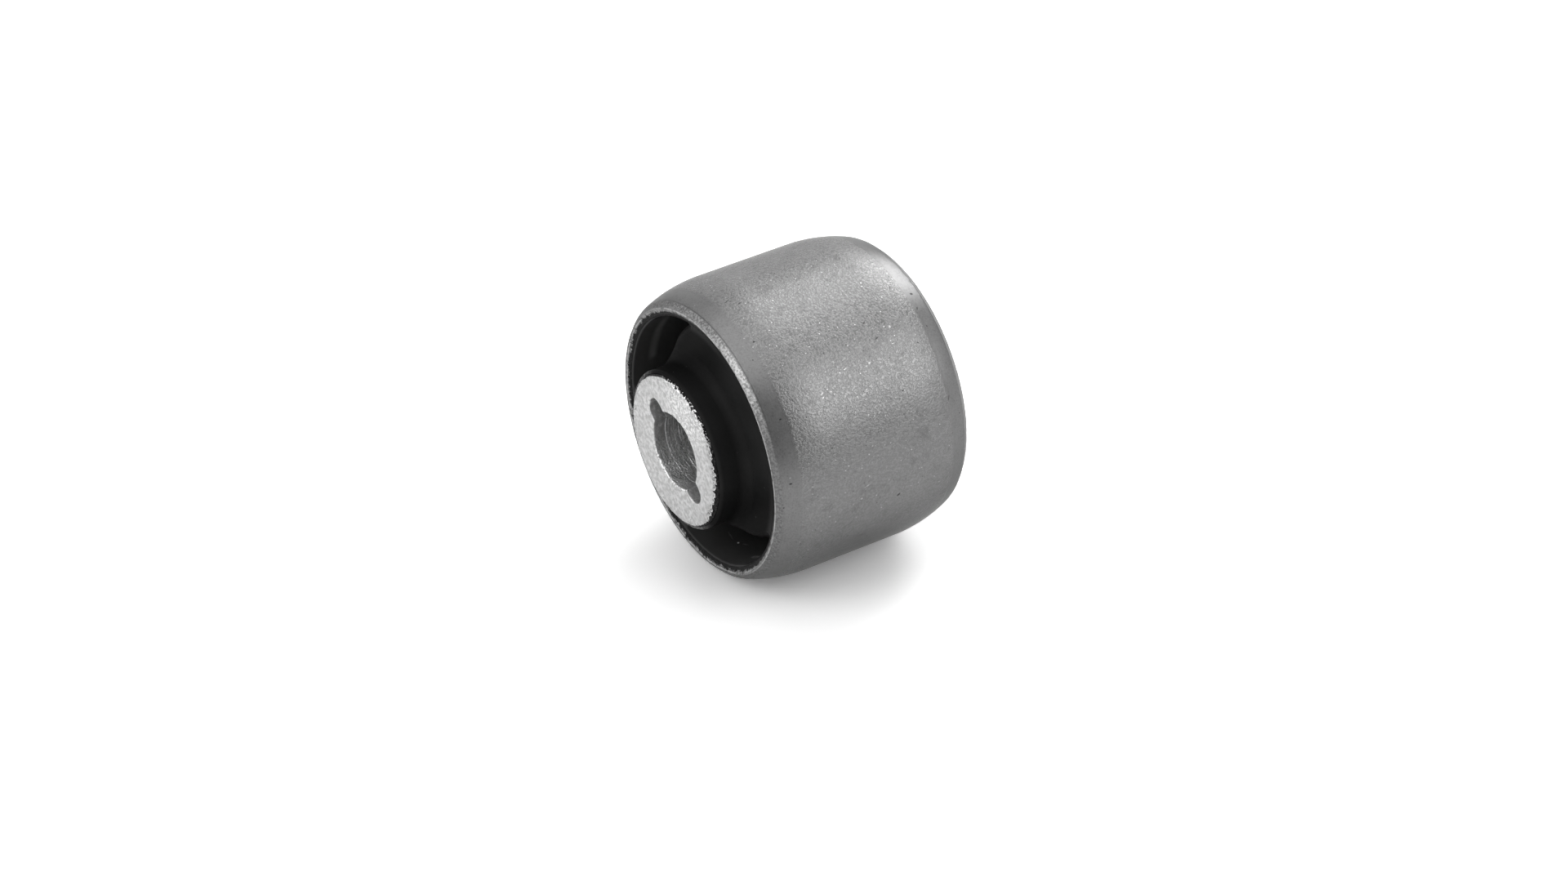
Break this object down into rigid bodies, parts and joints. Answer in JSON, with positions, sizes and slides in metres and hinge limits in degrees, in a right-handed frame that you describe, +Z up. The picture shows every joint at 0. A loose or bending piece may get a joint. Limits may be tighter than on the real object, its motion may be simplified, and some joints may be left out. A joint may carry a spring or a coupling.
{
  "type": "rubber metal bush",
  "caption": "Round vibration-damping bush: a barrel-shaped metal sleeve and a grooved inner tube, held together by a rubber moulding with curved voids.",
  "frame": {"origin": "middle of the lower end of the inner tube, at the bottom of the part, on its axis", "axes": "+Z up along the bush's axis; +X and -X through the voids; -Y towards the wide web of rubber"},
  "size_m": [0.055, 0.055, 0.05],
  "materials": {
    "barrel_steel": "dull grey, fine orange-peel grain in the middle and smooth swaged ends",
    "tube_steel": "pale satin end faces, darker bore with tool marks",
    "moulded_rubber": "black, smooth with a soft sheen"
  },
  "bodies": {
    "root": {"outer_sleeve": "barrel_steel", "inner_sleeve": "tube_steel", "rubber": "moulded_rubber"}
  },
  "joints": []
}
